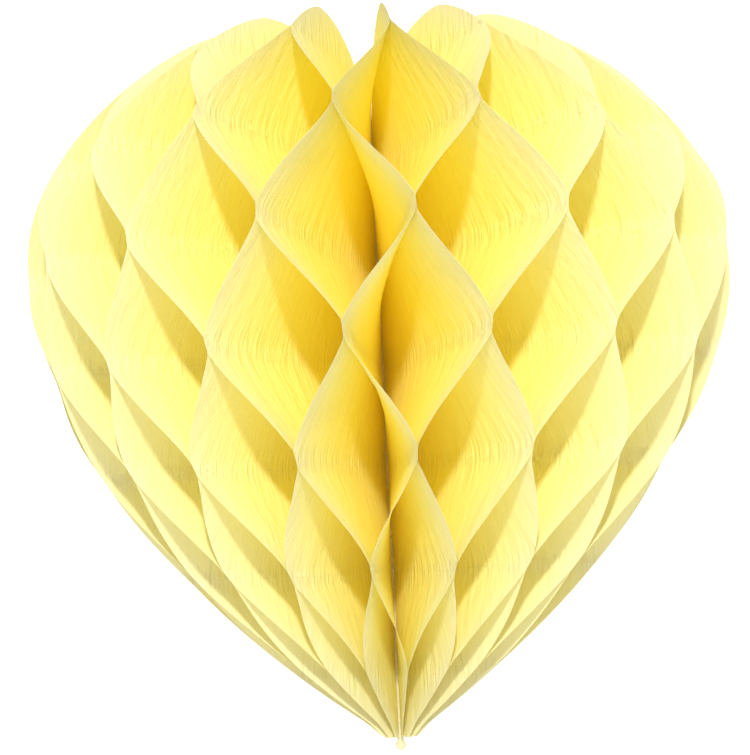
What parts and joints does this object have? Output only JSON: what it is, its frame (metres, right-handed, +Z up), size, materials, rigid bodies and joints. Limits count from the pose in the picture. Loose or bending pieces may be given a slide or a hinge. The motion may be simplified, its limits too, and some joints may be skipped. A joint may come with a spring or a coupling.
{
  "type": "paper honeycomb heart",
  "caption": "Hanging honeycomb heart of thin zigzag tissue leaves glued in rows about a vertical spine; opens from a flat half heart between two cover boards.",
  "frame": {"origin": "hanging point on top of the upper knot of the spine cord", "axes": "+Z up along the spine; +Y from the spine toward the seam between the two cover boards"},
  "size_m": [0.3024, 0.3029, 0.3055],
  "materials": {
    "tissue": "matte",
    "card": "matte",
    "adhesive": "matte",
    "thread": "matte"
  },
  "bodies": {
    "seam_side": {"cover_board_a": "card", "cover_leaf_a": "tissue", "adhesive_tab_low": "adhesive", "adhesive_tab_mid": "adhesive", "adhesive_tab_top": "adhesive", "spine_cord": "thread"},
    "leaf_01": {"tissue_leaf_01": "tissue"},
    "leaf_02": {"tissue_leaf_02": "tissue"},
    "leaf_03": {"tissue_leaf_03": "tissue"},
    "leaf_04": {"tissue_leaf_04": "tissue"},
    "leaf_05": {"tissue_leaf_05": "tissue"},
    "leaf_06": {"tissue_leaf_06": "tissue"},
    "leaf_07": {"tissue_leaf_07": "tissue"},
    "leaf_08": {"tissue_leaf_08": "tissue"},
    "leaf_09": {"tissue_leaf_09": "tissue"},
    "leaf_10": {"tissue_leaf_10": "tissue"},
    "leaf_11": {"tissue_leaf_11": "tissue"},
    "leaf_12": {"tissue_leaf_12": "tissue"},
    "leaf_13": {"tissue_leaf_13": "tissue"},
    "leaf_14": {"tissue_leaf_14": "tissue"},
    "leaf_15": {"tissue_leaf_15": "tissue"},
    "leaf_16": {"tissue_leaf_16": "tissue"},
    "leaf_17": {"tissue_leaf_17": "tissue"},
    "leaf_18": {"tissue_leaf_18": "tissue"},
    "leaf_19": {"tissue_leaf_19": "tissue"},
    "leaf_20": {"tissue_leaf_20": "tissue"},
    "leaf_21": {"tissue_leaf_21": "tissue"},
    "leaf_22": {"tissue_leaf_22": "tissue"},
    "leaf_23": {"tissue_leaf_23": "tissue"},
    "leaf_24": {"tissue_leaf_24": "tissue"},
    "leaf_25": {"tissue_leaf_25": "tissue"},
    "leaf_26": {"tissue_leaf_26": "tissue"},
    "leaf_27": {"tissue_leaf_27": "tissue"},
    "leaf_28": {"tissue_leaf_28": "tissue"},
    "leaf_29": {"tissue_leaf_29": "tissue"},
    "leaf_30": {"tissue_leaf_30": "tissue"},
    "leaf_31": {"tissue_leaf_31": "tissue"},
    "leaf_32": {"tissue_leaf_32": "tissue"},
    "leaf_33": {"tissue_leaf_33": "tissue", "cover_leaf_b": "tissue", "cover_board_b": "card"}
  },
  "joints": [
    {"name": "fold_01", "type": "hinge", "parent": "seam_side", "child": "leaf_01", "pos_m": [0, 0, -0.12], "axis": [0, 0, 1], "range_deg": [-10.45, 0], "deforming": ["tissue_leaf_01"]},
    {"name": "fold_02", "type": "hinge", "parent": "leaf_01", "child": "leaf_02", "pos_m": [0, 0, -0.12], "axis": [0, 0, 1], "range_deg": [-10.45, 0], "deforming": ["tissue_leaf_02"]},
    {"name": "fold_03", "type": "hinge", "parent": "leaf_02", "child": "leaf_03", "pos_m": [0, 0, -0.12], "axis": [0, 0, 1], "range_deg": [-10.45, 0], "deforming": ["tissue_leaf_03"]},
    {"name": "fold_04", "type": "hinge", "parent": "leaf_03", "child": "leaf_04", "pos_m": [0, 0, -0.12], "axis": [0, 0, 1], "range_deg": [-10.45, 0], "deforming": ["tissue_leaf_04"]},
    {"name": "fold_05", "type": "hinge", "parent": "leaf_04", "child": "leaf_05", "pos_m": [0, 0, -0.12], "axis": [0, 0, 1], "range_deg": [-10.45, 0], "deforming": ["tissue_leaf_05"]},
    {"name": "fold_06", "type": "hinge", "parent": "leaf_05", "child": "leaf_06", "pos_m": [0, 0, -0.12], "axis": [0, 0, 1], "range_deg": [-10.45, 0], "deforming": ["tissue_leaf_06"]},
    {"name": "fold_07", "type": "hinge", "parent": "leaf_06", "child": "leaf_07", "pos_m": [0, 0, -0.12], "axis": [0, 0, 1], "range_deg": [-10.45, 0], "deforming": ["tissue_leaf_07"]},
    {"name": "fold_08", "type": "hinge", "parent": "leaf_07", "child": "leaf_08", "pos_m": [0, 0, -0.12], "axis": [0, 0, 1], "range_deg": [-10.45, 0], "deforming": ["tissue_leaf_08"]},
    {"name": "fold_09", "type": "hinge", "parent": "leaf_08", "child": "leaf_09", "pos_m": [0, 0, -0.12], "axis": [0, 0, 1], "range_deg": [-10.45, 0], "deforming": ["tissue_leaf_09"]},
    {"name": "fold_10", "type": "hinge", "parent": "leaf_09", "child": "leaf_10", "pos_m": [0, 0, -0.12], "axis": [0, 0, 1], "range_deg": [-10.45, 0], "deforming": ["tissue_leaf_10"]},
    {"name": "fold_11", "type": "hinge", "parent": "leaf_10", "child": "leaf_11", "pos_m": [0, 0, -0.12], "axis": [0, 0, 1], "range_deg": [-10.45, 0], "deforming": ["tissue_leaf_11"]},
    {"name": "fold_12", "type": "hinge", "parent": "leaf_11", "child": "leaf_12", "pos_m": [0, 0, -0.12], "axis": [0, 0, 1], "range_deg": [-10.45, 0], "deforming": ["tissue_leaf_12"]},
    {"name": "fold_13", "type": "hinge", "parent": "leaf_12", "child": "leaf_13", "pos_m": [0, 0, -0.12], "axis": [0, 0, 1], "range_deg": [-10.45, 0], "deforming": ["tissue_leaf_13"]},
    {"name": "fold_14", "type": "hinge", "parent": "leaf_13", "child": "leaf_14", "pos_m": [0, 0, -0.12], "axis": [0, 0, 1], "range_deg": [-10.45, 0], "deforming": ["tissue_leaf_14"]},
    {"name": "fold_15", "type": "hinge", "parent": "leaf_14", "child": "leaf_15", "pos_m": [0, 0, -0.12], "axis": [0, 0, 1], "range_deg": [-10.45, 0], "deforming": ["tissue_leaf_15"]},
    {"name": "fold_16", "type": "hinge", "parent": "leaf_15", "child": "leaf_16", "pos_m": [0, 0, -0.12], "axis": [0, 0, 1], "range_deg": [-10.45, 0], "deforming": ["tissue_leaf_16"]},
    {"name": "fold_17", "type": "hinge", "parent": "leaf_16", "child": "leaf_17", "pos_m": [0, 0, -0.12], "axis": [0, 0, 1], "range_deg": [-10.45, 0], "deforming": ["tissue_leaf_17"]},
    {"name": "fold_18", "type": "hinge", "parent": "leaf_17", "child": "leaf_18", "pos_m": [0, 0, -0.12], "axis": [0, 0, 1], "range_deg": [-10.45, 0], "deforming": ["tissue_leaf_18"]},
    {"name": "fold_19", "type": "hinge", "parent": "leaf_18", "child": "leaf_19", "pos_m": [0, 0, -0.12], "axis": [0, 0, 1], "range_deg": [-10.45, 0], "deforming": ["tissue_leaf_19"]},
    {"name": "fold_20", "type": "hinge", "parent": "leaf_19", "child": "leaf_20", "pos_m": [0, 0, -0.12], "axis": [0, 0, 1], "range_deg": [-10.45, 0], "deforming": ["tissue_leaf_20"]},
    {"name": "fold_21", "type": "hinge", "parent": "leaf_20", "child": "leaf_21", "pos_m": [0, 0, -0.12], "axis": [0, 0, 1], "range_deg": [-10.45, 0], "deforming": ["tissue_leaf_21"]},
    {"name": "fold_22", "type": "hinge", "parent": "leaf_21", "child": "leaf_22", "pos_m": [0, 0, -0.12], "axis": [0, 0, 1], "range_deg": [-10.45, 0], "deforming": ["tissue_leaf_22"]},
    {"name": "fold_23", "type": "hinge", "parent": "leaf_22", "child": "leaf_23", "pos_m": [0, 0, -0.12], "axis": [0, 0, 1], "range_deg": [-10.45, 0], "deforming": ["tissue_leaf_23"]},
    {"name": "fold_24", "type": "hinge", "parent": "leaf_23", "child": "leaf_24", "pos_m": [0, 0, -0.12], "axis": [0, 0, 1], "range_deg": [-10.45, 0], "deforming": ["tissue_leaf_24"]},
    {"name": "fold_25", "type": "hinge", "parent": "leaf_24", "child": "leaf_25", "pos_m": [0, 0, -0.12], "axis": [0, 0, 1], "range_deg": [-10.45, 0], "deforming": ["tissue_leaf_25"]},
    {"name": "fold_26", "type": "hinge", "parent": "leaf_25", "child": "leaf_26", "pos_m": [0, 0, -0.12], "axis": [0, 0, 1], "range_deg": [-10.45, 0], "deforming": ["tissue_leaf_26"]},
    {"name": "fold_27", "type": "hinge", "parent": "leaf_26", "child": "leaf_27", "pos_m": [0, 0, -0.12], "axis": [0, 0, 1], "range_deg": [-10.45, 0], "deforming": ["tissue_leaf_27"]},
    {"name": "fold_28", "type": "hinge", "parent": "leaf_27", "child": "leaf_28", "pos_m": [0, 0, -0.12], "axis": [0, 0, 1], "range_deg": [-10.45, 0], "deforming": ["tissue_leaf_28"]},
    {"name": "fold_29", "type": "hinge", "parent": "leaf_28", "child": "leaf_29", "pos_m": [0, 0, -0.12], "axis": [0, 0, 1], "range_deg": [-10.45, 0], "deforming": ["tissue_leaf_29"]},
    {"name": "fold_30", "type": "hinge", "parent": "leaf_29", "child": "leaf_30", "pos_m": [0, 0, -0.12], "axis": [0, 0, 1], "range_deg": [-10.45, 0], "deforming": ["tissue_leaf_30"]},
    {"name": "fold_31", "type": "hinge", "parent": "leaf_30", "child": "leaf_31", "pos_m": [0, 0, -0.12], "axis": [0, 0, 1], "range_deg": [-10.45, 0], "deforming": ["tissue_leaf_31"]},
    {"name": "fold_32", "type": "hinge", "parent": "leaf_31", "child": "leaf_32", "pos_m": [0, 0, -0.12], "axis": [0, 0, 1], "range_deg": [-10.45, 0], "deforming": ["tissue_leaf_32"]},
    {"name": "fold_33", "type": "hinge", "parent": "leaf_32", "child": "leaf_33", "pos_m": [0, 0, -0.12], "axis": [0, 0, 1], "range_deg": [-10.45, 0], "deforming": ["tissue_leaf_33"]}
  ],
  "couplings": [
    {"joint": "fold_02", "follows": "fold_01", "ratio": 1},
    {"joint": "fold_03", "follows": "fold_01", "ratio": 1},
    {"joint": "fold_04", "follows": "fold_01", "ratio": 1},
    {"joint": "fold_05", "follows": "fold_01", "ratio": 1},
    {"joint": "fold_06", "follows": "fold_01", "ratio": 1},
    {"joint": "fold_07", "follows": "fold_01", "ratio": 1},
    {"joint": "fold_08", "follows": "fold_01", "ratio": 1},
    {"joint": "fold_09", "follows": "fold_01", "ratio": 1},
    {"joint": "fold_10", "follows": "fold_01", "ratio": 1},
    {"joint": "fold_11", "follows": "fold_01", "ratio": 1},
    {"joint": "fold_12", "follows": "fold_01", "ratio": 1},
    {"joint": "fold_13", "follows": "fold_01", "ratio": 1},
    {"joint": "fold_14", "follows": "fold_01", "ratio": 1},
    {"joint": "fold_15", "follows": "fold_01", "ratio": 1},
    {"joint": "fold_16", "follows": "fold_01", "ratio": 1},
    {"joint": "fold_17", "follows": "fold_01", "ratio": 1},
    {"joint": "fold_18", "follows": "fold_01", "ratio": 1},
    {"joint": "fold_19", "follows": "fold_01", "ratio": 1},
    {"joint": "fold_20", "follows": "fold_01", "ratio": 1},
    {"joint": "fold_21", "follows": "fold_01", "ratio": 1},
    {"joint": "fold_22", "follows": "fold_01", "ratio": 1},
    {"joint": "fold_23", "follows": "fold_01", "ratio": 1},
    {"joint": "fold_24", "follows": "fold_01", "ratio": 1},
    {"joint": "fold_25", "follows": "fold_01", "ratio": 1},
    {"joint": "fold_26", "follows": "fold_01", "ratio": 1},
    {"joint": "fold_27", "follows": "fold_01", "ratio": 1},
    {"joint": "fold_28", "follows": "fold_01", "ratio": 1},
    {"joint": "fold_29", "follows": "fold_01", "ratio": 1},
    {"joint": "fold_30", "follows": "fold_01", "ratio": 1},
    {"joint": "fold_31", "follows": "fold_01", "ratio": 1},
    {"joint": "fold_32", "follows": "fold_01", "ratio": 1},
    {"joint": "fold_33", "follows": "fold_01", "ratio": 1}
  ]
}
